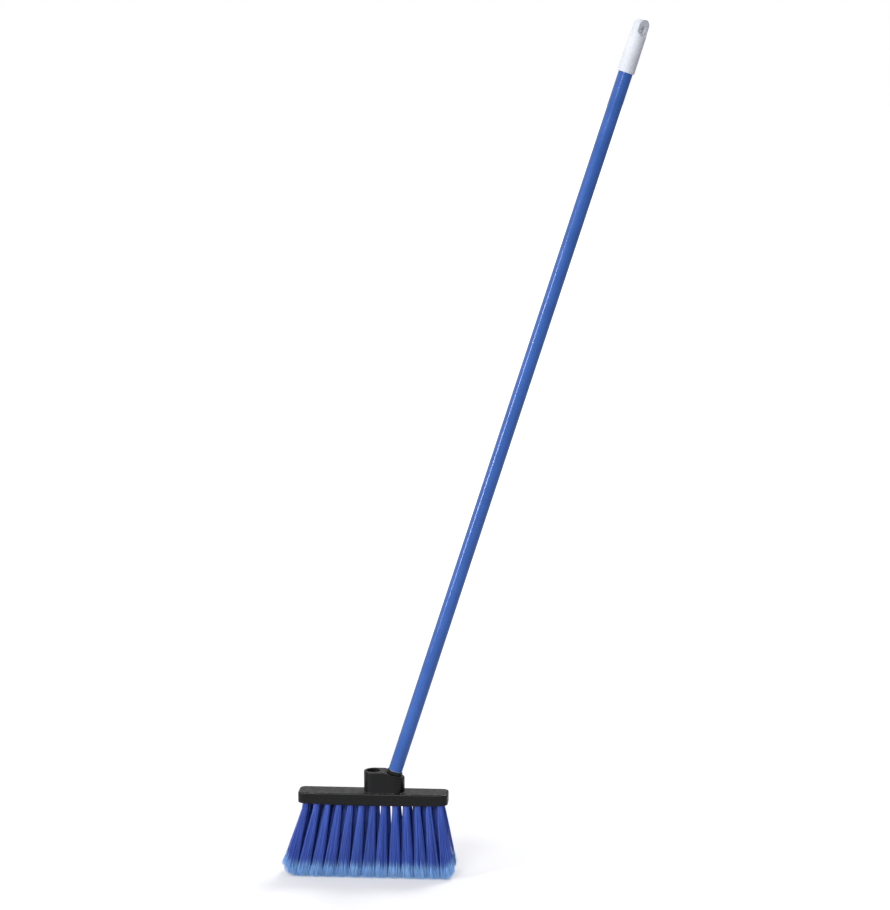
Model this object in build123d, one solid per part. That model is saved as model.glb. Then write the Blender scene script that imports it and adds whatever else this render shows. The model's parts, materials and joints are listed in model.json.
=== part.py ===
from build123d import *
import os

# Upright broom with an angled handle, in millimetres.
# The origin is on the floor under the middle of the block. X runs along the block and Z is up.
# The handle leans towards +X.

# Block
block_length = 228.6
block_depth = 39.0
block_top_z = 130.0
underside_mid_z = 111.3
underside_end_z = 113.4
block_corner_radius = 9.0
block_top_edge_radius = 2.5
block_bottom_edge_radius = 1.2

# Boss on top of the block, which holds the two handle sockets
boss_left_x = -14.5
boss_right_x = 47.7
boss_depth = 31.6
boss_top_z = 162.3
boss_edge_radius = 1.6
boss_base_radius = 1.1

# Handle axis, which leaves the boss at the middle of the angled socket's mouth
handle_lean = 17.7
mouth_x = 31.72
mouth_z = 157.6
straight_socket_x = 0.0

# Coarse handle thread, five turns to the inch
thread_pitch = 5.08
male_root_radius = 7.2
male_crest_radius = 9.35
male_root_half_width = 0.8
male_crest_half_width = 0.45
thread_clearance = 0.33
thread_root_overlap = 0.3
female_land_radius = 7.65
socket_depth = 27.0
groove_depth = 25.4
mouth_radius = 10.2
mouth_depth = 2.7
mouth_chamfer = 0.8

# Threaded tip, pressed into the lower end of the tube
thread_length = 25.4
thread_lead_in = 1.8
tip_flange_radius = 11.9
tip_flange_bottom = 0.3
tip_flange_top = 5.2
tip_flange_chamfer = 0.5
tip_plug_length = 36.0
tip_plug_chamfer = 1.0
tip_core_radius = 4.2
tip_core_floor = 4.0

# Steel tube and its coloured sleeve
tube_radius = 10.4
tube_wall = 0.4
sleeve_wall = 0.25
running_clearance = 0.05
sleeve_bottom = 5.8
sleeve_top_gap = 1.0

# Hang-up cap
cap_tip = 1193.8
cap_length = 82.0
cap_rim_radius = 12.7
cap_top_radius = 12.1
cap_tube_depth = 50.0
cap_sleeve_depth = 36.0
cap_rim_edge_radius = 0.6
flat_gap = 13.0
flat_length = 24.0
flat_ramp = 3.2
hang_hole_below_tip = 16.5
hang_hole_radius = 4.7
hang_hole_chamfer = 0.8
hang_hole_turn = -45.0

# Bristle tufts and the holes that they stand in. Each row is (name, row, tufts, pitch, shift along x),
# and the rows are staggered so that one row's tufts stand behind another's gaps
tuft_rows = (
    ("front", -1, 13, 17.0, 0.0),
    ("middle", 0, 14, 15.0, -2.6),
    ("back", 1, 13, 16.6, 3.0),
)
tuft_row_pitch = 12.0
hole_radius = 4.5
hole_top_z = 123.5
tuft_radius = 4.4
tuft_top_gap = 0.3
tuft_neck_z = 110.8
tuft_neck_roundness = 0.98
tip_spread = 1.195
tip_row_pitch = 20.0
tip_sweep = -4.0
tip_width = 16.2
tip_depth = 17.0
tip_corner_radius = 5.0
left_end_radius = 22.0
right_end_radius = 16.0

# Flat wire staples that fold the tufts into their holes
staple_length = 10.8
staple_height = 2.0
staple_thickness = 0.45
staple_z = 120.6

# How far a cutter runs past what it cuts, and how nearly level an edge at a given height is
cut_margin = 1.0
level_tolerance = 0.01

# Sizes that follow from the ones above
sleeve_inner_radius = tube_radius + running_clearance
sleeve_outer_radius = sleeve_inner_radius + sleeve_wall
cap_rim_s = cap_tip - cap_length
tube_top_s = cap_rim_s + cap_tube_depth
sleeve_top_s = cap_rim_s + cap_sleeve_depth - sleeve_top_gap
front_half_length = tuft_rows[0][3] * (tuft_rows[0][2] - 1) / 2
tip_reach = tip_spread * front_half_length + tip_width / 2
tip_left_x = tip_sweep - tip_reach
tip_right_x = tip_sweep + tip_reach

on_base = (Align.CENTER, Align.CENTER, Align.MIN)
handle_place = Pos(mouth_x, 0, mouth_z) * Rot(0, handle_lean, 0)
straight_place = Pos(straight_socket_x, 0, boss_top_z)


def rod(radius, low, high):
    """Round bar on the z axis from height low to height high."""
    return Pos(0, 0, low) * Cylinder(radius, high - low, align=on_base)


def turned(*points):
    """Solid of revolution about the z axis from an outline of (radius, height) points."""
    outline = Polyline(*[(radius, 0, height) for radius, height in points], close=True)
    return revolve(make_face(outline), axis=Axis.Z)


def helical_ridge(root_radius, crest_radius, root_half, crest_half, start, end):
    """Ridge of trapezoid section that climbs the z axis at the thread's pitch.

    Its turn about the axis depends only on the height, so two ridges always line up.
    """
    path = Edge.make_helix(thread_pitch, end - start, root_radius)
    inner_radius = root_radius - thread_root_overlap
    profile = Polyline(
        (inner_radius, 0, -root_half),
        (crest_radius, 0, -crest_half),
        (crest_radius, 0, crest_half),
        (inner_radius, 0, root_half),
        close=True,
    )
    ridge = sweep(make_face(profile), path=path, is_frenet=True)
    return Pos(0, 0, start) * Rot(0, 0, 360 * start / thread_pitch) * ridge


def threaded_socket():
    """Everything that one socket takes out of the boss, with its mouth at z = 0."""
    flank = (male_root_half_width - male_crest_half_width) / (male_crest_radius - male_root_radius)
    land_half = male_root_half_width - flank * (female_land_radius - male_root_radius)
    core = rod(female_land_radius, -socket_depth, thread_pitch)
    groove = helical_ridge(
        female_land_radius,
        male_crest_radius + thread_clearance,
        land_half + thread_clearance,
        male_crest_half_width + thread_clearance,
        -groove_depth,
        thread_pitch,
    )
    counterbore = turned(
        (0, -mouth_depth),
        (mouth_radius, -mouth_depth),
        (mouth_radius, -mouth_chamfer),
        (mouth_radius + 2 * mouth_chamfer, mouth_chamfer),
        (0, mouth_chamfer),
    )
    return [core + groove, counterbore]


def tuft_places():
    """(name, x, row) of every tuft hole, with row -1, 0 or 1 from front to back."""
    places = []
    for row_name, row, columns, pitch, shift in tuft_rows:
        for column in range(columns):
            x = (column - (columns - 1) / 2) * pitch + shift
            places.append((f"bristle_tuft_{row_name}_{column + 1:02d}", x, row))
    return places


def make_block_body():
    """Block with a level top, an underside that sags in the middle, and rounded corners."""
    half = block_length / 2
    with BuildSketch(Plane.XZ) as side:
        with BuildLine():
            Line((-half, underside_end_z), (-half, block_top_z))
            Line((-half, block_top_z), (half, block_top_z))
            Line((half, block_top_z), (half, underside_end_z))
            ThreePointArc((half, underside_end_z), (0, underside_mid_z), (-half, underside_end_z))
        make_face()
    block = extrude(side.sketch, block_depth / 2, both=True)
    block = fillet(block.edges().filter_by(Axis.Z), block_corner_radius)
    top_edges = block.faces().sort_by(Axis.Z)[-1].edges()
    block = fillet(top_edges, block_top_edge_radius)
    bottom_edges = block.faces().sort_by(Axis.Z)[0].edges()
    return fillet(bottom_edges, block_bottom_edge_radius)


def make_boss():
    """Upright boss with round ends, level over the straight socket and square to the handle over the other."""
    length = boss_right_x - boss_left_x
    middle_x = (boss_left_x + boss_right_x) / 2
    plan = Plane.XY.offset(block_top_z - boss_base_radius) * Pos(middle_x, 0) * SlotOverall(length, boss_depth)
    boss = extrude(plan, boss_top_z - block_top_z + boss_base_radius)
    above_mouth = handle_place * Box(4 * boss_depth, 2 * boss_depth, boss_depth, align=on_base)
    return boss - above_mouth


def make_head_block():
    """Block and boss in one moulding, with its sockets, tuft holes and staple cuts."""
    boss = make_boss()
    crown = [edge for edge in boss.edges() if edge.bounding_box().min.Z > block_top_z + boss_edge_radius]
    boss = fillet(crown, boss_edge_radius)
    head = make_block_body() + boss
    foot = [
        edge for edge in head.edges()
        if abs(edge.center().Z - block_top_z) < level_tolerance
        and edge.bounding_box().size.Z < level_tolerance
        and boss_left_x - cut_margin < edge.center().X < boss_right_x + cut_margin
        and abs(edge.center().Y) < boss_depth / 2 + level_tolerance
    ]
    head = fillet(foot, boss_base_radius)
    for place in (straight_place, handle_place):
        for cutter in threaded_socket():
            head -= place * cutter
    for _, x, row in tuft_places():
        y = row * tuft_row_pitch
        head -= Pos(x, y, 0) * rod(hole_radius, tuft_neck_z - hole_radius, hole_top_z)
        head -= make_staple(x, y)
    return head


def make_staple(x, y):
    """Flat wire anchor across one tuft hole, its ends bitten into the plastic."""
    return Pos(x, y, staple_z) * Box(staple_length, staple_thickness, staple_height)


def bristle_envelope():
    """Room between the block and the floor that the tips are trimmed to, with rounded lower ends."""
    with BuildSketch(Plane.XZ) as side:
        with BuildLine():
            Line((tip_left_x, block_top_z), (tip_left_x, left_end_radius))
            RadiusArc((tip_left_x, left_end_radius), (tip_left_x + left_end_radius, 0), -left_end_radius)
            Line((tip_left_x + left_end_radius, 0), (tip_right_x - right_end_radius, 0))
            RadiusArc((tip_right_x - right_end_radius, 0), (tip_right_x, right_end_radius), -right_end_radius)
            Line((tip_right_x, right_end_radius), (tip_right_x, block_top_z))
            Line((tip_right_x, block_top_z), (tip_left_x, block_top_z))
        make_face()
    return extrude(side.sketch, 2 * block_depth, both=True)


def make_tuft(root_x, root_y, tip_x, tip_y):
    """One bundle of bristles: round in its hole, then leaning and opening out towards the floor."""
    stub = Pos(root_x, root_y, 0) * rod(tuft_radius, tuft_neck_z, hole_top_z - tuft_top_gap)
    neck = Plane.XY.offset(tuft_neck_z) * Pos(root_x, root_y)
    neck_side = 2 * tuft_radius
    neck_face = neck * RectangleRounded(neck_side, neck_side, tuft_neck_roundness * tuft_radius)
    tip_face = Pos(tip_x, tip_y) * RectangleRounded(tip_width, tip_depth, tip_corner_radius)
    skirt = loft([tip_face.face(), neck_face.face()], ruled=True)
    tuft = stub + skirt
    return tuft - make_staple(root_x, root_y)


def make_tufts():
    """All tufts by name, each trimmed to the broom's rounded ends where it reaches them."""
    envelope = bristle_envelope()
    tufts = {}
    for name, x, row in tuft_places():
        tuft = make_tuft(x, row * tuft_row_pitch, x * tip_spread + tip_sweep, row * tip_row_pitch)
        box = tuft.bounding_box()
        if box.min.X < tip_left_x + left_end_radius or box.max.X > tip_right_x - right_end_radius:
            tuft = tuft & envelope
        tufts[name] = tuft
    return tufts


def make_staples():
    """All staples as one group of separate solids."""
    return Compound(children=[
        make_staple(x, row * tuft_row_pitch).solid() for _, x, row in tuft_places()
    ])


def make_threaded_tip():
    """Moulded tip: thread below, flange under the tube's edge, and a plug inside the tube."""
    plug_radius = tube_radius - tube_wall
    plug_top = tip_flange_top + tip_plug_length
    core = turned(
        (0, -thread_length),
        (male_root_radius - thread_lead_in, -thread_length),
        (male_root_radius, -thread_length + thread_lead_in),
        (male_root_radius, tip_flange_bottom),
        (tip_flange_radius - tip_flange_chamfer, tip_flange_bottom),
        (tip_flange_radius, tip_flange_bottom + tip_flange_chamfer),
        (tip_flange_radius, tip_flange_top - tip_flange_chamfer),
        (tip_flange_radius - tip_flange_chamfer, tip_flange_top),
        (plug_radius, tip_flange_top),
        (plug_radius, plug_top - tip_plug_chamfer),
        (plug_radius - tip_plug_chamfer, plug_top),
        (0, plug_top),
    )
    ridge = helical_ridge(
        male_root_radius,
        male_crest_radius,
        male_root_half_width,
        male_crest_half_width,
        -thread_length + thread_lead_in,
        -thread_pitch / 2,
    )
    lead_radius = male_crest_radius + cut_margin
    lead = turned(
        (0, -thread_length),
        (male_root_radius, -thread_length),
        (lead_radius, -thread_length + lead_radius - male_root_radius),
        (lead_radius, 0),
        (0, 0),
    )
    hollow = rod(tip_core_radius, -thread_length + tip_core_floor, plug_top + cut_margin)
    return core + (ridge & lead) - hollow


def make_tube():
    """Thin steel tube from the tip's flange to the roof of the cap's bore."""
    outside = rod(tube_radius, tip_flange_top, tube_top_s)
    return outside - rod(tube_radius - tube_wall, tip_flange_top - cut_margin, tube_top_s + cut_margin)


def make_sleeve():
    """Coloured plastic sleeve over the tube, tucked under the cap's rim."""
    outside = rod(sleeve_outer_radius, sleeve_bottom, sleeve_top_s)
    return outside - rod(sleeve_inner_radius, sleeve_bottom - cut_margin, sleeve_top_s + cut_margin)


def make_hang_cap():
    """Cap with a stepped bore, a round top, two flats and a hole to hang it by."""
    shoulder_s = cap_tip - cap_top_radius
    with BuildSketch(Plane.XZ) as half_section:
        with BuildLine():
            Line((0, cap_rim_s), (cap_rim_radius, cap_rim_s))
            Line((cap_rim_radius, cap_rim_s), (cap_top_radius, shoulder_s))
            RadiusArc((cap_top_radius, shoulder_s), (0, cap_tip), -cap_top_radius)
            Line((0, cap_tip), (0, cap_rim_s))
        make_face()
    cap = revolve(half_section.sketch, axis=Axis.Z)
    cap = fillet(cap.edges().group_by(Axis.Z)[0], cap_rim_edge_radius)
    cap -= rod(sleeve_outer_radius + running_clearance, cap_rim_s - cut_margin, cap_rim_s + cap_sleeve_depth)
    cap -= rod(tube_radius, cap_rim_s, tube_top_s)
    flat_start_s = cap_tip - flat_length
    wide = 2 * cap_rim_radius
    with BuildSketch(Plane.XZ) as relief:
        with BuildLine():
            Polyline(
                (flat_gap / 2, cap_tip + cut_margin),
                (flat_gap / 2, flat_start_s + flat_ramp),
                (flat_gap / 2 + 2 * flat_ramp, flat_start_s - flat_ramp),
                (wide, flat_start_s - flat_ramp),
                (wide, cap_tip + cut_margin),
                close=True,
            )
        make_face()
    side = extrude(relief.sketch, wide, both=True)
    cap -= side
    cap -= Rot(0, 0, 180) * side
    hole_s = cap_tip - hang_hole_below_tip
    across = Pos(0, 0, hole_s) * Rot(0, 90, 0)
    cap -= across * Cylinder(hang_hole_radius, wide)
    for turn in (0, 180):
        funnel = Cone(
            hang_hole_radius, hang_hole_radius + 2 * hang_hole_chamfer, 2 * hang_hole_chamfer, align=on_base
        )
        mouth = Pos(0, 0, flat_gap / 2 - hang_hole_chamfer)
        cap -= Pos(0, 0, hole_s) * Rot(0, 0, turn) * Rot(0, 90, 0) * mouth * funnel
    return Rot(0, 0, hang_hole_turn) * cap


def main():
    os.makedirs("parts", exist_ok=True)
    nodes = {"head_block": make_head_block(), "tuft_staples": make_staples()}
    nodes.update(make_tufts())
    nodes["threaded_tip"] = handle_place * make_threaded_tip()
    nodes["handle_tube"] = handle_place * make_tube()
    nodes["handle_sleeve"] = handle_place * make_sleeve()
    nodes["hang_cap"] = handle_place * make_hang_cap()
    for name, shape in nodes.items():
        export_step(shape, f"parts/{name}.step")


main()
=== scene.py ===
import bpy
import bmesh
import json
import math
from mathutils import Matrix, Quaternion, Vector


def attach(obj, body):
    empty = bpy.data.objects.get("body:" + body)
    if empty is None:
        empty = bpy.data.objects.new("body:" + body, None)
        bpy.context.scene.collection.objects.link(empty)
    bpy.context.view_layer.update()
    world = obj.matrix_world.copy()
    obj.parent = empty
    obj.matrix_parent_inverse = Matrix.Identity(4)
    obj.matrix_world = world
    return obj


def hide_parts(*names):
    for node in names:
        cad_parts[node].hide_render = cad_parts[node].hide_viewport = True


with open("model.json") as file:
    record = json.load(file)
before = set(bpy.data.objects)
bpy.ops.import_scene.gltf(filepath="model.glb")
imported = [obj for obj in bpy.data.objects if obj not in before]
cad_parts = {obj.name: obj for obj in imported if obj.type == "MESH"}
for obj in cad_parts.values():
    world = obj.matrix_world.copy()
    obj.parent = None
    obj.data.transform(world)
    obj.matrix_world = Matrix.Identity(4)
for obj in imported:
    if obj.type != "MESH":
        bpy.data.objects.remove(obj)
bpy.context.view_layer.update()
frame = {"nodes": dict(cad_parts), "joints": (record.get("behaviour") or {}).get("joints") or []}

cadNodes = frame["nodes"]
turnJoint = [joint for joint in frame["joints"] if joint["name"] == "handle_turn"][0]
handleAxis = Vector(turnJoint["axis"]).normalized()
handleMouth = Vector(turnJoint["pos_m"])  # middle of the angled socket's mouth
print("frame loaded:", len(cadNodes), "nodes")


# Node tree helpers

def connect(tree, value, socket):
    if isinstance(value, bpy.types.NodeSocket):
        tree.links.new(value, socket)
    elif value is not None:
        socket.default_value = value


def addNode(tree, kind, inputs=None, **settings):
    node = tree.nodes.new(kind)
    for name, value in settings.items():
        setattr(node, name, value)
    for key, value in (inputs or {}).items():
        connect(tree, value, node.inputs[key])
    return node


def calc(tree, operation, a, b=None, c=None):
    inputs = {0: a, 1: b, 2: c}
    return addNode(tree, "ShaderNodeMath", inputs, operation=operation).outputs[0]


def product(tree, first, *others):
    for other in others:
        first = calc(tree, "MULTIPLY", first, other)
    return first


def vecCalc(tree, operation, a, b=None, scale=None):
    node = addNode(tree, "ShaderNodeVectorMath", {0: a, 1: b, 3: scale}, operation=operation)
    return node.outputs[1 if operation in ("DOT_PRODUCT", "DISTANCE") else 0]


def combine(tree, x, y, z):
    return addNode(tree, "ShaderNodeCombineXYZ", {"X": x, "Y": y, "Z": z}).outputs[0]


def ramp(tree, value, low, high, toLow=0.0, toHigh=1.0):
    inputs = {"Value": value, "From Min": low, "From Max": high, "To Min": toLow, "To Max": toHigh}
    return addNode(tree, "ShaderNodeMapRange", inputs, interpolation_type="SMOOTHSTEP").outputs[0]


def noise(tree, place, scale, detail):
    inputs = {"Vector": place, "Scale": scale, "Detail": detail}
    return addNode(tree, "ShaderNodeTexNoise", inputs).outputs[0]


def objectPlace(tree):
    return tree.nodes.new("ShaderNodeTexCoord").outputs["Object"]


def mixColour(tree, factor, first, second):
    node = addNode(tree, "ShaderNodeMix", data_type="RGBA")
    connect(tree, factor, node.inputs[0])
    connect(tree, first, node.inputs[6])
    connect(tree, second, node.inputs[7])
    return node.outputs[2]


def openGroup(name, kind, sizes, outputs):
    tree = bpy.data.node_groups.new(name, kind)
    kinds = {int: "NodeSocketInt", float: "NodeSocketFloat", Vector: "NodeSocketVector"}
    for label, value in sizes.items():
        socket = tree.interface.new_socket(label, in_out="INPUT", socket_type=kinds[type(value)])
        socket.default_value = value
    for label, socketType in outputs.items():
        tree.interface.new_socket(label, in_out="OUTPUT", socket_type=socketType)
    start = tree.nodes.new("NodeGroupInput").outputs
    end = tree.nodes.new("NodeGroupOutput").inputs
    return tree, start, end


meshOutput = {"Mesh": "NodeSocketGeometry"}


def closeMeshGroup(tree, geometry, material, end):
    smooth = addNode(tree, "GeometryNodeSetShadeSmooth", {0: geometry}).outputs[0]
    real = addNode(tree, "GeometryNodeRealizeInstances", {0: smooth}).outputs[0]
    painted = addNode(tree, "GeometryNodeSetMaterial", {"Geometry": real, "Material": material}).outputs[0]
    connect(tree, painted, end["Mesh"])


def moveTo(tree, geometry, place):
    return addNode(tree, "GeometryNodeSetPosition", {"Geometry": geometry, "Position": place}).outputs[0]


def addObject(name, data):
    thing = bpy.data.objects.new(name, data)
    bpy.context.scene.collection.objects.link(thing)
    return thing


def applyModifiers(thing):
    depsgraph = bpy.context.evaluated_depsgraph_get()
    mesh = bpy.data.meshes.new_from_object(thing.evaluated_get(depsgraph))
    thing.modifiers.clear()
    return mesh


def growMesh(name, tree, sizes):
    # runs a Geometry Nodes tree with these sizes and keeps its result as a plain mesh
    carrier = addObject(name + "Carrier", bpy.data.meshes.new(name + "Seed"))
    modifier = carrier.modifiers.new(name, "NODES")
    modifier.node_group = tree
    sockets = {item.name: item.identifier for item in tree.interface.items_tree if item.in_out == "INPUT"}
    for label, value in sizes.items():
        modifier[sockets[label]] = value
    mesh = applyModifiers(carrier)
    bpy.data.objects.remove(carrier)
    mesh.name = name
    return addObject(name, mesh)


# Shader groups that several finishes share

def makeGrainGroup():
    # fine moulded texture: a height for bump and a mask for gloss
    sizes = {"Grain Scale": 900.0, "Blotch Scale": 28.0, "Blotch Low": 0.3, "Blotch High": 0.7}
    outputs = {"Height": "NodeSocketFloat", "Mask": "NodeSocketFloat"}
    tree, start, end = openGroup("mouldedGrain", "ShaderNodeTree", sizes, outputs)
    place = objectPlace(tree)
    connect(tree, noise(tree, place, start["Grain Scale"], 3.0), end["Height"])
    blotches = noise(tree, place, start["Blotch Scale"], 4.0)
    connect(tree, ramp(tree, blotches, start["Blotch Low"], start["Blotch High"]), end["Mask"])
    return tree


def makeDustGroup():
    # dust that settles on faces that look up, thicker in blotches
    sizes = {
        "Amount": 0.3,
        "Scale": 60.0,
        "First Slope": 0.35,        # faces that look up less than this stay clean
        "Full Slope": 0.95,
        "Patch Low": 0.42,
        "Patch High": 0.72,
    }
    tree, start, end = openGroup("settledDust", "ShaderNodeTree", sizes, {"Mask": "NodeSocketFloat"})
    normal = tree.nodes.new("ShaderNodeNewGeometry").outputs["Normal"]
    up = addNode(tree, "ShaderNodeSeparateXYZ", {0: normal}).outputs["Z"]
    facing = ramp(tree, up, start["First Slope"], start["Full Slope"])
    specks = noise(tree, objectPlace(tree), start["Scale"], 6.0)
    patch = ramp(tree, specks, start["Patch Low"], start["Patch High"])
    connect(tree, product(tree, facing, patch, start["Amount"]), end["Mask"])
    return tree


def makeWearGroup():
    # rubbed edges: where a rounded normal departs from the true one, broken up by noise
    sizes = {
        "Edge Width": 0.0012,
        "Amount": 0.5,
        "Break Up": 220.0,
        "Bend Low": 0.02,
        "Bend High": 0.2,
        "Scuff Low": 0.4,
        "Scuff High": 0.62,
    }
    tree, start, end = openGroup("edgeWear", "ShaderNodeTree", sizes, {"Mask": "NodeSocketFloat"})
    normal = tree.nodes.new("ShaderNodeNewGeometry").outputs["Normal"]
    softened = addNode(tree, "ShaderNodeBevel", {"Radius": start["Edge Width"]}, samples=4).outputs[0]
    departure = calc(tree, "SUBTRACT", 1.0, vecCalc(tree, "DOT_PRODUCT", normal, softened))
    edge = ramp(tree, departure, start["Bend Low"], start["Bend High"])
    scuffs = noise(tree, objectPlace(tree), start["Break Up"], 4.0)
    broken = ramp(tree, scuffs, start["Scuff Low"], start["Scuff High"])
    connect(tree, product(tree, edge, broken, start["Amount"]), end["Mask"])
    return tree


grainGroup = makeGrainGroup()
dustGroup = makeDustGroup()
wearGroup = makeWearGroup()


def useGroup(tree, group, **values):
    node = addNode(tree, "ShaderNodeGroup", node_tree=group)
    for name, value in values.items():
        label = "".join(" " + letter if letter.isupper() else letter for letter in name)
        connect(tree, value, node.inputs[label.strip().title()])
    return node.outputs


def useWear(tree, look, amount):
    outputs = useGroup(tree, wearGroup, edgeWidth=look["edgeWidth"], amount=amount, breakUp=look["breakUp"])
    return outputs["Mask"]


def startMaterial(name):
    material = bpy.data.materials.new(name)
    material.use_nodes = True
    tree = material.node_tree
    return material, tree, tree.nodes["Principled BSDF"].inputs


def bumpFrom(tree, height, distance, strength=1.0):
    inputs = {"Height": height, "Distance": distance, "Strength": strength}
    return addNode(tree, "ShaderNodeBump", inputs).outputs[0]


# Finishes

blackPlasticLook = {
    "colour": (0.0045, 0.0047, 0.0049, 1),
    "rubbed": (0.045, 0.045, 0.047, 1),
    "dust": (0.16, 0.155, 0.15, 1),
    "glossy": 0.24,
    "dull": 0.36,
    "dustDulls": 0.5,
    "rubbingDulls": 0.2,
    "grainScale": 1100.0,
    "blotchScale": 30.0,
    "grainDepth": 0.00004,
    "dustScale": 140.0,
    "edgeWidth": 0.0011,
    "breakUp": 260.0,
    "refraction": 1.33,         # low, so that only glancing faces shine
}
headSoiling = {"dust": 0.22, "rubbing": 0.5}
tipSoiling = {"dust": 0.05, "rubbing": 0.3}


def makeBlackPlastic(name, look, soiling):
    material, tree, shader = startMaterial(name)
    grain = useGroup(tree, grainGroup, grainScale=look["grainScale"], blotchScale=look["blotchScale"])
    dust = useGroup(tree, dustGroup, amount=soiling["dust"], scale=look["dustScale"])["Mask"]
    wear = useWear(tree, look, soiling["rubbing"])
    worn = mixColour(tree, wear, look["colour"], look["rubbed"])
    connect(tree, mixColour(tree, dust, worn, look["dust"]), shader["Base Color"])
    gloss = ramp(tree, grain["Mask"], 0.0, 1.0, look["glossy"], look["dull"])
    dulled = calc(tree, "ADD", gloss, calc(tree, "MULTIPLY", dust, look["dustDulls"]))
    rubbed = calc(tree, "MULTIPLY", wear, look["rubbingDulls"])
    connect(tree, calc(tree, "ADD", dulled, rubbed), shader["Roughness"])
    connect(tree, bumpFrom(tree, grain["Height"], look["grainDepth"]), shader["Normal"])
    shader["IOR"].default_value = look["refraction"]
    return material


bristleColours = {
    "deep": (0.038, 0.066, 0.400, 1),
    "bright": (0.074, 0.180, 0.700, 1),
    "flagDeep": (0.155, 0.390, 0.860, 1),
    "flagBright": (0.370, 0.650, 0.980, 1),
    "flagStart": 0.82,          # share of the length where the pale tip begins
    "flagEnd": 0.93,
    "flagWobble": 0.09,
    "shadeShare": 0.7,          # how much of the mottling goes by filament, and how much by streak
    "streakShare": 0.3,
    "streakScale": 160.0,
    "streakDepth": 0.00004,
    "shaftRoughness": 0.34,
    "flagRoughness": 0.6,
    "refraction": 1.56,
}


def makeBristleFibre(look):
    # smooth blue filament that turns pale and matt where its tip is split
    material, tree, shader = startMaterial("bristleFibre")
    along = addNode(tree, "ShaderNodeAttribute", attribute_name="along").outputs["Fac"]
    shade = addNode(tree, "ShaderNodeAttribute", attribute_name="shade").outputs["Fac"]
    streak = noise(tree, objectPlace(tree), look["streakScale"], 3.0)
    byFilament = calc(tree, "MULTIPLY", shade, look["shadeShare"])
    mottled = calc(tree, "ADD", byFilament, calc(tree, "MULTIPLY", streak, look["streakShare"]))
    shaft = mixColour(tree, mottled, look["deep"], look["bright"])
    flag = mixColour(tree, mottled, look["flagDeep"], look["flagBright"])
    wobble = calc(tree, "MULTIPLY_ADD", shade, look["flagWobble"], along)
    split = ramp(tree, wobble, look["flagStart"], look["flagEnd"])
    connect(tree, mixColour(tree, split, shaft, flag), shader["Base Color"])
    roughness = ramp(tree, split, 0.0, 1.0, look["shaftRoughness"], look["flagRoughness"])
    connect(tree, roughness, shader["Roughness"])
    connect(tree, bumpFrom(tree, streak, look["streakDepth"]), shader["Normal"])
    shader["IOR"].default_value = look["refraction"]
    return material


sleeveLook = {
    "colour": (0.032, 0.104, 0.370, 1),
    "deep": (0.027, 0.088, 0.325, 1),
    "paleBand": (0.06, 0.15, 0.44, 1),
    "bandWidth": 0.0013,
    "bandCore": 0.35,            # share of the band's width that is fully pale
    "grainScale": 1500.0,
    "blotchScale": 22.0,
    "gloss": 0.14,
    "dull": 0.21,
    "scratchScale": 420.0,
    "scratchLow": 0.62,
    "scratchHigh": 0.75,
    "scratchDulls": 0.16,
    "rippleScale": 95.0,
    "ripple": 0.00012,
    "rippleStrength": 0.6,
    "refraction": 1.42,
}


def makeSleevePlastic(look, bottom):
    # glossy blue skin with the faint ripple of a shrunk film, paler in a thin band at its lower end
    material, tree, shader = startMaterial("sleevePlastic")
    place = objectPlace(tree)
    grain = useGroup(tree, grainGroup, grainScale=look["grainScale"], blotchScale=look["blotchScale"])
    ahead = vecCalc(tree, "SUBTRACT", place, bottom)
    rise = vecCalc(tree, "DOT_PRODUCT", ahead, handleAxis)
    skin = ramp(tree, rise, look["bandCore"] * look["bandWidth"], look["bandWidth"])
    band = calc(tree, "SUBTRACT", 1.0, skin)
    body = mixColour(tree, grain["Mask"], look["deep"], look["colour"])
    connect(tree, mixColour(tree, band, body, look["paleBand"]), shader["Base Color"])
    scratch = noise(tree, place, look["scratchScale"], 5.0)
    rub = ramp(tree, scratch, look["scratchLow"], look["scratchHigh"], 0.0, look["scratchDulls"])
    gloss = ramp(tree, grain["Mask"], 0.0, 1.0, look["gloss"], look["dull"])
    connect(tree, calc(tree, "ADD", gloss, rub), shader["Roughness"])
    ripple = noise(tree, place, look["rippleScale"], 2.0)
    connect(tree, bumpFrom(tree, ripple, look["ripple"], look["rippleStrength"]), shader["Normal"])
    shader["IOR"].default_value = look["refraction"]
    return material


capLook = {
    "colour": (0.62, 0.645, 0.70, 1),
    "shade": (0.565, 0.59, 0.65, 1),
    "dust": (0.50, 0.49, 0.47, 1),
    "glossy": 0.46,
    "dull": 0.6,
    "grainScale": 1300.0,
    "blotchScale": 40.0,
    "grainDepth": 0.00004,
    "dustAmount": 0.14,
    "dustScale": 180.0,
    "edgeWidth": 0.001,
    "rubbing": 0.35,
    "rubbedSoil": 0.4,          # how much of the dust colour a rubbed edge takes
    "breakUp": 300.0,
    "translucency": 0.12,
    "scatter": (0.004, 0.004, 0.005),
}


def makeCapPlastic(look):
    material, tree, shader = startMaterial("capPlastic")
    grain = useGroup(tree, grainGroup, grainScale=look["grainScale"], blotchScale=look["blotchScale"])
    dust = useGroup(tree, dustGroup, amount=look["dustAmount"], scale=look["dustScale"])["Mask"]
    wear = useWear(tree, look, look["rubbing"])
    body = mixColour(tree, grain["Mask"], look["shade"], look["colour"])
    soil = calc(tree, "MAXIMUM", dust, calc(tree, "MULTIPLY", wear, look["rubbedSoil"]))
    connect(tree, mixColour(tree, soil, body, look["dust"]), shader["Base Color"])
    connect(tree, ramp(tree, grain["Mask"], 0.0, 1.0, look["glossy"], look["dull"]), shader["Roughness"])
    connect(tree, bumpFrom(tree, grain["Height"], look["grainDepth"]), shader["Normal"])
    shader["Subsurface Weight"].default_value = look["translucency"]
    shader["Subsurface Radius"].default_value = look["scatter"]
    return material


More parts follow.
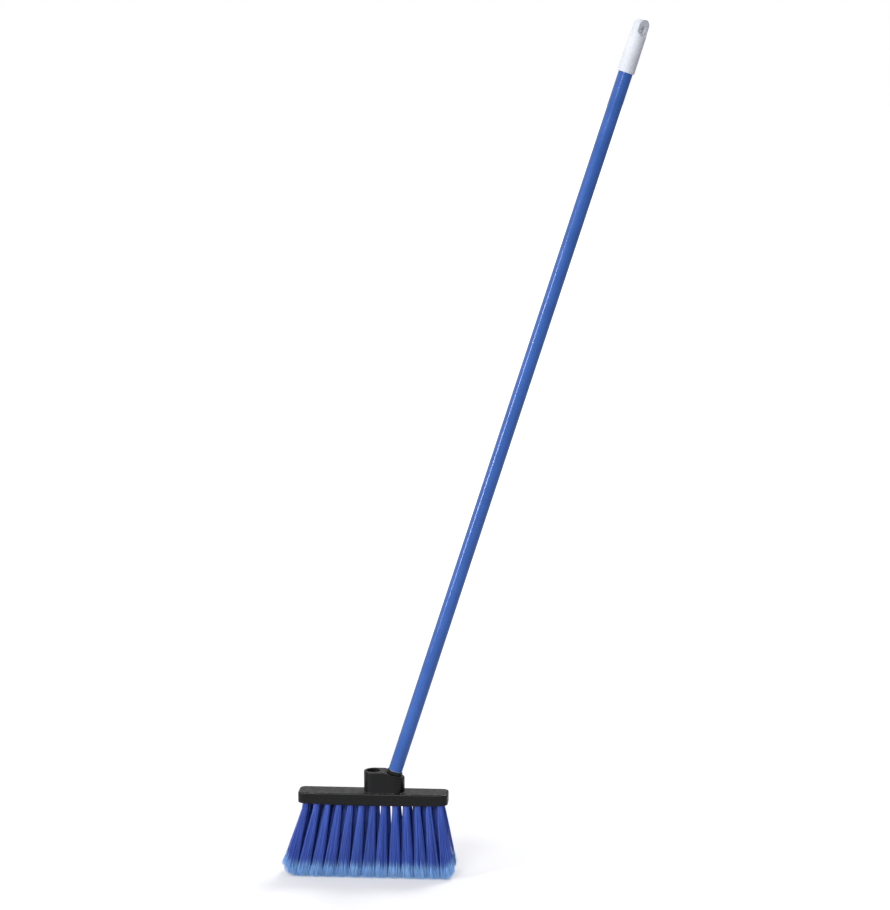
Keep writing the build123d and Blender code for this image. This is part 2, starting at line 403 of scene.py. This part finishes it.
steelLook = {
    "colour": (0.62, 0.63, 0.65, 1),
    "stain": (0.35, 0.33, 0.31, 1),
    "polished": 0.22,
    "dull": 0.42,
    "markLow": 0.3,
    "markHigh": 0.7,
    "grainScale": 700.0,
    "blotchScale": 55.0,
    "grainDepth": 0.00002,
}


def makeSteel(name, look):
    # drawn steel with fine marks and faint stains
    material, tree, shader = startMaterial(name)
    grain = useGroup(tree, grainGroup, grainScale=look["grainScale"], blotchScale=look["blotchScale"])
    connect(tree, mixColour(tree, grain["Mask"], look["stain"], look["colour"]), shader["Base Color"])
    marks = ramp(tree, grain["Height"], look["markLow"], look["markHigh"], look["polished"], look["dull"])
    connect(tree, marks, shader["Roughness"])
    connect(tree, bumpFrom(tree, grain["Height"], look["grainDepth"]), shader["Normal"])
    shader["Metallic"].default_value = 1.0
    return material


def dress(node, material):
    # a CAD node keeps its shape and takes this finish
    slots = cadNodes[node].data.materials
    slots.clear()
    slots.append(material)


headPlastic = makeBlackPlastic("headPlastic", blackPlasticLook, headSoiling)
tipPlastic = makeBlackPlastic("tipPlastic", blackPlasticLook, tipSoiling)
bristleFibre = makeBristleFibre(bristleColours)
capPlastic = makeCapPlastic(capLook)
tubeSteel = makeSteel("tubeSteel", steelLook)
stapleSteel = makeSteel("stapleSteel", steelLook)
dress("head_block", headPlastic)
dress("threaded_tip", tipPlastic)
dress("handle_tube", tubeSteel)
dress("tuft_staples", stapleSteel)
print("finishes made")


# Bristles: one Geometry Nodes tree grows a row of tufts, each a bundle of filaments with split tips

bristleSizes = {
    "Tufts": 13,
    "Strands": 140,             # filaments in one tuft
    "Root Pitch": 0.017,
    "Root Shift": 0.0,
    "Root Row": 0.0,
    "Tip Row": 0.0,
    "Tip Spread": 1.19,         # tips stand this much further apart than roots
    "Tip Sweep": -0.0065,
    "Hole Radius": 0.0041,
    "Tip Half Width": 0.0104,
    "Tip Half Depth": 0.0096,
    "Squareness": 0.85,         # 0 keeps a tuft's tips round, 1 makes them meet their neighbours squarely
    "Opening": 1.3,             # over 1 keeps a tuft tight near its hole
    "Neck Height": 0.1108,
    "Top Share": -0.09,         # how far a filament runs up into its hole
    "Strand Radius": 0.00029,
    "Wander": 0.0011,
    "Trim": 0.0011,             # uneven ends
    "Left Contact": -0.1145,
    "Left Corner": 0.022,
    "Right Contact": 0.1095,
    "Right Corner": 0.016,
    "Flag Share": 0.17,
    "Flags": 3,
    "Fray": 0.0023,
    "Seed": 4,
}
bristleDetail = {
    "shaftSegments": 6,
    "shaftSides": 4,
    "shaftTaper": (0.7, 1.0, 1.0, 0.55),        # from and to along the filament, then the widths there
    "hairSegments": 2,
    "hairSides": 3,
    "hairTaper": (0.85, 1.0, 0.68, 0.42),
    "overlap": 0.45,            # share of the split length that the whole shaft leaves to its hairs
    "tuftTurn": 1.7,            # radians from one tuft's pattern to the next
    "steepest": 0.985,          # keeps the rounded ends of a row short of vertical
}
bristleRows = {
    "Front": {"Root Row": -0.012, "Tip Row": -0.020, "Seed": 4},
    "Middle": {"Tufts": 14, "Root Pitch": 0.015, "Root Shift": -0.0026, "Opening": 0.7, "Seed": 17},
    "Back": {
        "Root Pitch": 0.0166,
        "Root Shift": 0.003,
        "Root Row": 0.012,
        "Tip Row": 0.020,
        "Opening": 0.7,
        "Seed": 31,
    },
}


def randomVector(tree, reach, seed, number):
    low = vecCalc(tree, "SCALE", Vector((-1, -1, -1)), scale=reach)
    high = vecCalc(tree, "SCALE", Vector((1, 1, 1)), scale=reach)
    node = addNode(tree, "FunctionNodeRandomValue", {0: low, 1: high, 8: seed}, data_type="FLOAT_VECTOR")
    connect(tree, number, node.inputs["ID"])
    return node.outputs[0]


def keep(tree, geometry, name, value, kind="FLOAT_VECTOR"):
    inputs = {"Geometry": geometry, "Name": name}
    node = addNode(tree, "GeometryNodeStoreNamedAttribute", inputs, data_type=kind)
    connect(tree, value, node.inputs["Value"])
    return node.outputs[0]


def randomShare(tree, most, seed):
    return addNode(tree, "FunctionNodeRandomValue", {2: 0.0, 3: most, 8: seed}, data_type="FLOAT").outputs[1]


def recall(tree, name, kind="FLOAT_VECTOR"):
    return addNode(tree, "GeometryNodeInputNamedAttribute", {"Name": name}, data_type=kind).outputs[0]


def cornerLift(tree, past, corner):
    # height of the rounded end at a distance past the last point of contact
    reached = calc(tree, "MAXIMUM", calc(tree, "DIVIDE", past, corner), 0.0)
    share = calc(tree, "MINIMUM", reached, bristleDetail["steepest"])
    drop = calc(tree, "SQRT", calc(tree, "SUBTRACT", 1.0, calc(tree, "MULTIPLY", share, share)))
    return calc(tree, "MULTIPLY", corner, calc(tree, "SUBTRACT", 1.0, drop))


def strandCurves(tree, start, points, low, high, segments, fray):
    # one curve for each point, from share low to share high of the way between root and tip
    line = addNode(tree, "GeometryNodeCurvePrimitiveLine").outputs[0]
    fine = addNode(tree, "GeometryNodeResampleCurve", {"Curve": line, "Count": segments + 1}).outputs[0]
    copies = addNode(tree, "GeometryNodeInstanceOnPoints", {"Points": points, "Instance": fine}).outputs[0]
    curves = addNode(tree, "GeometryNodeRealizeInstances", {0: copies}).outputs[0]
    factor = addNode(tree, "GeometryNodeSplineParameter").outputs["Factor"]
    share = calc(tree, "MULTIPLY_ADD", factor, calc(tree, "SUBTRACT", high, low), low)
    curves = keep(tree, curves, "along", share, "FLOAT")
    along = recall(tree, "along", "FLOAT")
    below = calc(tree, "MAXIMUM", along, 0.0)
    opening = calc(tree, "POWER", below, start["Opening"])
    middle = vecCalc(tree, "SCALE", recall(tree, "lean"), scale=below)
    offset = vecCalc(tree, "SCALE", recall(tree, "swell"), scale=opening)
    bow = calc(tree, "SINE", calc(tree, "MULTIPLY", below, math.pi))
    bent = vecCalc(tree, "SCALE", recall(tree, "bend"), scale=bow)
    place = recall(tree, "root")
    for part in (middle, offset, bent):
        place = vecCalc(tree, "ADD", place, part)
    if fray:
        loose = addNode(tree, "GeometryNodeSplineParameter").outputs["Factor"]
        place = vecCalc(tree, "ADD", place, vecCalc(tree, "SCALE", recall(tree, "fray"), scale=loose))
    flat = addNode(tree, "ShaderNodeSeparateXYZ", {0: place}).outputs
    fall = calc(tree, "MULTIPLY", recall(tree, "tipHeight", "FLOAT"), along)
    height = calc(tree, "MULTIPLY_ADD", calc(tree, "SUBTRACT", 1.0, along), start["Neck Height"], fall)
    moved = combine(tree, flat["X"], flat["Y"], height)
    return moveTo(tree, curves, moved), along


def sweepStrands(tree, curves, sides, scale):
    ring = addNode(tree, "GeometryNodeCurvePrimitiveCircle", {"Resolution": sides, "Radius": 1.0})
    inputs = {"Curve": curves, "Profile Curve": ring.outputs[0], "Scale": scale, "Fill Caps": True}
    return addNode(tree, "GeometryNodeCurveToMesh", inputs).outputs[0]


def makeBristleTree(detail):
    tree, start, end = openGroup("bristleRow", "GeometryNodeTree", bristleSizes, meshOutput)
    count = calc(tree, "MULTIPLY", start["Tufts"], start["Strands"])
    points = addNode(tree, "GeometryNodePoints", {"Count": count}).outputs[0]
    number = addNode(tree, "GeometryNodeInputIndex").outputs[0]
    seed = start["Seed"]

    # where each tuft stands, and where the filament stands in it: a sunflower pattern fills the round hole
    tuft = calc(tree, "FLOOR", calc(tree, "DIVIDE", calc(tree, "ADD", number, 0.5), start["Strands"]))
    order = calc(tree, "SUBTRACT", number, calc(tree, "MULTIPLY", tuft, start["Strands"]))
    middle = calc(tree, "MULTIPLY", calc(tree, "SUBTRACT", start["Tufts"], 1.0), 0.5)
    column = calc(tree, "SUBTRACT", tuft, middle)
    rootX = calc(tree, "MULTIPLY_ADD", column, start["Root Pitch"], start["Root Shift"])
    tipX = calc(tree, "MULTIPLY_ADD", rootX, start["Tip Spread"], start["Tip Sweep"])
    ringShare = calc(tree, "SQRT", calc(tree, "DIVIDE", calc(tree, "ADD", order, 0.5), start["Strands"]))
    tuftTurn = calc(tree, "MULTIPLY", tuft, detail["tuftTurn"])
    turn = calc(tree, "MULTIPLY_ADD", order, math.pi * (3 - math.sqrt(5)), tuftTurn)
    acrossX = calc(tree, "MULTIPLY", calc(tree, "COSINE", turn), ringShare)
    acrossY = calc(tree, "MULTIPLY", calc(tree, "SINE", turn), ringShare)
    waves = [calc(tree, "ABSOLUTE", calc(tree, wave, turn)) for wave in ("COSINE", "SINE")]
    corner = calc(tree, "SUBTRACT", calc(tree, "DIVIDE", 1.0, calc(tree, "MAXIMUM", *waves)), 1.0)
    stretch = calc(tree, "MULTIPLY_ADD", corner, start["Squareness"], 1.0)
    tipAcrossX = calc(tree, "MULTIPLY", acrossX, stretch)
    tipAcrossY = calc(tree, "MULTIPLY", acrossY, stretch)

    root = combine(
        tree,
        calc(tree, "MULTIPLY_ADD", acrossX, start["Hole Radius"], rootX),
        calc(tree, "MULTIPLY_ADD", acrossY, start["Hole Radius"], start["Root Row"]),
        0.0,
    )
    lean = combine(
        tree,
        calc(tree, "SUBTRACT", tipX, rootX),
        calc(tree, "SUBTRACT", start["Tip Row"], start["Root Row"]),
        0.0,
    )
    inHole = vecCalc(tree, "SCALE", combine(tree, acrossX, acrossY, 0.0), scale=start["Hole Radius"])
    atTip = combine(
        tree,
        calc(tree, "MULTIPLY", tipAcrossX, start["Tip Half Width"]),
        calc(tree, "MULTIPLY", tipAcrossY, start["Tip Half Depth"]),
        0.0,
    )
    swell = vecCalc(tree, "SUBTRACT", atTip, inHole)
    reach = calc(tree, "MULTIPLY_ADD", tipAcrossX, start["Tip Half Width"], tipX)
    pastLeft = calc(tree, "SUBTRACT", start["Left Contact"], reach)
    pastRight = calc(tree, "SUBTRACT", reach, start["Right Contact"])
    leftLift = cornerLift(tree, pastLeft, start["Left Corner"])
    rightLift = cornerLift(tree, pastRight, start["Right Corner"])
    uneven = randomShare(tree, start["Trim"], seed)
    tipHeight = calc(tree, "ADD", calc(tree, "MAXIMUM", leftLift, rightLift), uneven)

    shade = randomShare(tree, 1.0, calc(tree, "ADD", seed, 1.0))
    bend = randomVector(tree, start["Wander"], calc(tree, "ADD", seed, 2.0), number)
    points = keep(tree, points, "root", root)
    points = keep(tree, points, "lean", lean)
    points = keep(tree, points, "swell", swell)
    points = keep(tree, points, "bend", bend)
    points = keep(tree, points, "tipHeight", tipHeight, "FLOAT")
    points = keep(tree, points, "shade", shade, "FLOAT")

    # shafts, then the finer hairs that each one splits into
    flagLow = calc(tree, "SUBTRACT", 1.0, start["Flag Share"])
    shaftEnd = calc(tree, "MULTIPLY_ADD", start["Flag Share"], -detail["overlap"], 1.0)
    segments = detail["shaftSegments"]
    shafts, along = strandCurves(tree, start, points, start["Top Share"], shaftEnd, segments, False)
    width = calc(tree, "MULTIPLY", start["Strand Radius"], ramp(tree, along, *detail["shaftTaper"]))
    shaftMesh = sweepStrands(tree, shafts, detail["shaftSides"], width)

    doubled = addNode(tree, "GeometryNodeDuplicateElements", {"Geometry": points}, domain="POINT")
    connect(tree, start["Flags"], doubled.inputs["Amount"])
    hairNumber = addNode(tree, "GeometryNodeInputIndex").outputs[0]
    fray = randomVector(tree, start["Fray"], calc(tree, "ADD", seed, 3.0), hairNumber)
    hairs = keep(tree, doubled.outputs[0], "fray", fray)
    hairCurves, hairAlong = strandCurves(tree, start, hairs, flagLow, 1.0, detail["hairSegments"], True)
    hairWidth = calc(tree, "MULTIPLY", start["Strand Radius"], ramp(tree, hairAlong, *detail["hairTaper"]))
    hairMesh = sweepStrands(tree, hairCurves, detail["hairSides"], hairWidth)

    joined = addNode(tree, "GeometryNodeJoinGeometry")
    tree.links.new(hairMesh, joined.inputs[0])
    tree.links.new(shaftMesh, joined.inputs[0])
    closeMeshGroup(tree, joined.outputs[0], bristleFibre, end)
    return tree


bristleTree = makeBristleTree(bristleDetail)
for rowName, changes in bristleRows.items():
    row = growMesh("bristles" + rowName, bristleTree, {**bristleSizes, **changes})
    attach(row, "head")
    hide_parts(*[node for node in cadNodes if node.startswith("bristle_tuft_" + rowName.lower())])
    print("bristles grown:", rowName, len(row.data.polygons), "faces")


# Handle sleeve: a thin wall wrapped round the tube's axis

def measureSleeve():
    # lowest, highest, inner and outer distances of the CAD sleeve's points from the handle's axis
    reaches = [vertex.co - handleMouth for vertex in cadNodes["handle_sleeve"].data.vertices]
    rises = [reach.dot(handleAxis) for reach in reaches]
    radii = [reach.cross(handleAxis).length for reach in reaches]
    return min(rises), max(rises), min(radii), max(radii)


sleeveBottom, sleeveTop, sleeveInside, sleeveOutside = measureSleeve()
sleeveSizes = {
    "Mouth": handleMouth,
    "Axis": handleAxis,
    "Side": Vector((handleAxis.z, 0.0, -handleAxis.x)),
    "Bottom": sleeveBottom,
    "Top": sleeveTop,
    "Outer Radius": sleeveOutside,
    "Inner Radius": sleeveInside,
    "Around": 72,
    "Rings": 150,
    "Ripple": 0.00003,
    "Ripple Scale": 34.0,
}
sleeveWeld = 0.000002           # joins the grid's edges where it has been wrapped round


def makeSleeveTree(material):
    tree, start, end = openGroup("sleeveWall", "GeometryNodeTree", sleeveSizes, meshOutput)
    across = calc(tree, "ADD", start["Around"], 1.0)
    down = calc(tree, "MULTIPLY_ADD", start["Rings"], 2.0, 3.0)
    grid = addNode(tree, "GeometryNodeMeshGrid", {"Size X": 1.0, "Size Y": 1.0})
    connect(tree, across, grid.inputs["Vertices X"])
    connect(tree, down, grid.inputs["Vertices Y"])
    position = addNode(tree, "GeometryNodeInputPosition").outputs[0]
    flat = addNode(tree, "ShaderNodeSeparateXYZ", {0: position}).outputs
    angle = calc(tree, "MULTIPLY", flat["X"], 2 * math.pi)

    # up the outside for one half of the grid, and back down the inside for the other
    fold = calc(tree, "SUBTRACT", 1.0, calc(tree, "MULTIPLY", calc(tree, "ABSOLUTE", flat["Y"]), 2.0))
    length = calc(tree, "SUBTRACT", start["Top"], start["Bottom"])
    rise = calc(tree, "MULTIPLY_ADD", fold, length, start["Bottom"])
    outside = calc(tree, "GREATER_THAN", flat["Y"], 0.0)
    cosine = calc(tree, "COSINE", angle)
    sine = calc(tree, "SINE", angle)
    sample = combine(tree, cosine, sine, calc(tree, "MULTIPLY", rise, start["Ripple Scale"]))
    waviness = calc(tree, "SUBTRACT", noise(tree, sample, 1.0, 1.0), 0.5)
    swell = calc(tree, "MULTIPLY", waviness, start["Ripple"])
    outer = calc(tree, "ADD", start["Outer Radius"], swell)
    wall = calc(tree, "SUBTRACT", outer, start["Inner Radius"])
    radius = calc(tree, "MULTIPLY_ADD", outside, wall, start["Inner Radius"])

    other = vecCalc(tree, "CROSS_PRODUCT", start["Axis"], start["Side"])
    place = vecCalc(tree, "ADD", start["Mouth"], vecCalc(tree, "SCALE", start["Axis"], scale=rise))
    sideways = vecCalc(tree, "SCALE", start["Side"], scale=calc(tree, "MULTIPLY", radius, cosine))
    forwards = vecCalc(tree, "SCALE", other, scale=calc(tree, "MULTIPLY", radius, sine))
    place = vecCalc(tree, "ADD", vecCalc(tree, "ADD", place, sideways), forwards)
    wrapped = moveTo(tree, grid.outputs[0], place)
    closed = addNode(tree, "GeometryNodeMergeByDistance", {"Geometry": wrapped, "Distance": sleeveWeld})
    closeMeshGroup(tree, closed.outputs[0], material, end)
    return tree


sleevePlastic = makeSleevePlastic(sleeveLook, handleMouth + handleAxis * sleeveSizes["Bottom"])
sleeve = growMesh("handleSleeve", makeSleeveTree(sleevePlastic), sleeveSizes)
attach(sleeve, "sleeve")
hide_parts("handle_sleeve")
print("sleeve wrapped:", len(sleeve.data.polygons), "faces")


# Hang-up cap: the CAD cap remeshed, so that its moulded edges are soft

capSizes = {"weld": 0.000001, "voxel": 0.00042, "smoothing": 5}


def makeSoftCap(sizes):
    mesh = cadNodes["hang_cap"].data.copy()
    shell = bmesh.new()
    shell.from_mesh(mesh)
    bmesh.ops.remove_doubles(shell, verts=shell.verts, dist=sizes["weld"])
    shell.to_mesh(mesh)
    shell.free()
    cap = addObject("softCap", mesh)
    remesh = cap.modifiers.new("remesh", "REMESH")
    remesh.mode = "VOXEL"
    remesh.voxel_size = sizes["voxel"]
    remesh.use_smooth_shade = True
    smooth = cap.modifiers.new("smooth", "SMOOTH")
    smooth.iterations = sizes["smoothing"]
    cap.data = applyModifiers(cap)
    cap.data.materials.clear()
    cap.data.materials.append(capPlastic)
    return cap


cap = makeSoftCap(capSizes)
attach(cap, "handle")
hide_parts("hang_cap")
print("cap softened:", len(cap.data.polygons), "faces")


# Room: pale floor, soft studio light, camera

floorLook = {
    "colour": (0.50, 0.50, 0.52, 1),
    "size": 60.0,
    "roughness": 0.7,
    "shine": 0.1,
    "nearGlow": 0.26,           # lifts the floor to white as the camera sees it, more so far from the broom
    "farGlow": 1.0,
    "nearReach": 0.5,
    "farReach": 3.0,
}


def makeFloor(look):
    half = look["size"] / 2
    mesh = bpy.data.meshes.new("floor")
    corners = [(-half, -half, 0), (half, -half, 0), (half, half, 0), (-half, half, 0)]
    mesh.from_pydata([Vector(corner) for corner in corners], [], [(0, 1, 2, 3)])
    floor = addObject("floor", mesh)
    material, tree, shader = startMaterial("paleFloor")
    shader["Base Color"].default_value = look["colour"]
    shader["Roughness"].default_value = look["roughness"]
    shader["Specular IOR Level"].default_value = look["shine"]
    shader["Emission Color"].default_value = (1, 1, 1, 1)
    away = vecCalc(tree, "DISTANCE", objectPlace(tree), Vector((0, 0, 0)))
    glow = ramp(tree, away, look["nearReach"], look["farReach"], look["nearGlow"], look["farGlow"])
    seen = tree.nodes.new("ShaderNodeLightPath").outputs["Is Camera Ray"]
    connect(tree, calc(tree, "MULTIPLY", glow, seen), shader["Emission Strength"])
    mesh.materials.append(material)


lightLook = {
    "backdrop": 1.0,            # what is seen behind the broom
    "left": 0.72,               # light from the room's walls and ceiling
    "right": 0.17,
    "front": 0.86,
    "above": 0.55,
    "sideways": (-0.7, 0.5),    # directions between which one of the values above fades into the next
    "ahead": (-0.8, 0.2),
    "overhead": (0.3, 0.9),
    "lamps": {
        "sideSoftbox": {
            "place": (-1.85, -1.25, 0.95),
            "aim": (0.2, 0.0, 0.65),
            "width": 0.34,
            "height": 0.9,
            "watts": 24.0,
        },
        "frontSoftbox": {
            "place": (-0.9, -3.0, 2.2),
            "aim": (0.0, 0.0, 0.3),
            "width": 1.2,
            "height": 1.2,
            "watts": 62.0,
        },
        "backPanel": {
            "place": (0.9, 1.5, 2.6),
            "aim": (0.0, 0.0, 0.0),
            "width": 1.0,
            "height": 1.0,
            "watts": 60.0,
        },
    },
}


def aimAt(thing, place, target):
    thing.location = Vector(place)
    thing.rotation_mode = "QUATERNION"
    thing.rotation_quaternion = (Vector(target) - Vector(place)).to_track_quat("-Z", "Y")


def makeLights(look):
    world = bpy.data.worlds.new("studio")
    world.use_nodes = True
    tree = world.node_tree
    direction = tree.nodes.new("ShaderNodeTexCoord").outputs["Generated"]
    way = addNode(tree, "ShaderNodeSeparateXYZ", {0: direction}).outputs
    sideways = ramp(tree, way["X"], *look["sideways"], look["left"], look["right"])
    ahead = ramp(tree, way["Y"], *look["ahead"], look["front"], 1.0)
    overhead = ramp(tree, way["Z"], *look["overhead"], 0.0, look["above"])
    room = calc(tree, "ADD", calc(tree, "MULTIPLY", sideways, ahead), overhead)
    seen = tree.nodes.new("ShaderNodeLightPath").outputs["Is Camera Ray"]
    inputs = {0: seen, 2: room, 3: look["backdrop"]}
    strength = addNode(tree, "ShaderNodeMix", inputs, data_type="FLOAT").outputs[0]
    background = tree.nodes["Background"].inputs
    background["Color"].default_value = (1, 1, 1, 1)
    connect(tree, strength, background["Strength"])
    bpy.context.scene.world = world
    for name, lamp in look["lamps"].items():
        data = bpy.data.lights.new(name, "AREA")
        data.shape = "RECTANGLE"
        data.size = lamp["width"]
        data.size_y = lamp["height"]
        data.energy = lamp["watts"]
        panel = addObject(name, data)
        aimAt(panel, lamp["place"], lamp["aim"])


cameraLook = {
    "target": (0.108, 0.0, 0.650),
    "azimuth": -3.8,
    "tilt": 9.4,
    "roll": 0.14,
    "distance": 4.151,
    "lens": 110.1,
    "sensor": 36.0,
}


def makeCamera(look):
    data = bpy.data.cameras.new("camera")
    data.lens = look["lens"]
    data.sensor_width = look["sensor"]
    camera = addObject("camera", data)
    azimuth, tilt = math.radians(look["azimuth"]), math.radians(look["tilt"])
    level = math.cos(tilt)
    forward = Vector((math.sin(azimuth) * level, math.cos(azimuth) * level, -math.sin(tilt)))
    target = Vector(look["target"])
    aimAt(camera, target - forward * look["distance"], target)
    roll = Quaternion((0, 0, 1), math.radians(look["roll"]))
    camera.rotation_quaternion = camera.rotation_quaternion @ roll
    bpy.context.scene.camera = camera


makeFloor(floorLook)
makeLights(lightLook)
makeCamera(cameraLook)
bpy.context.scene.view_settings.view_transform = "Standard"
print("room ready")
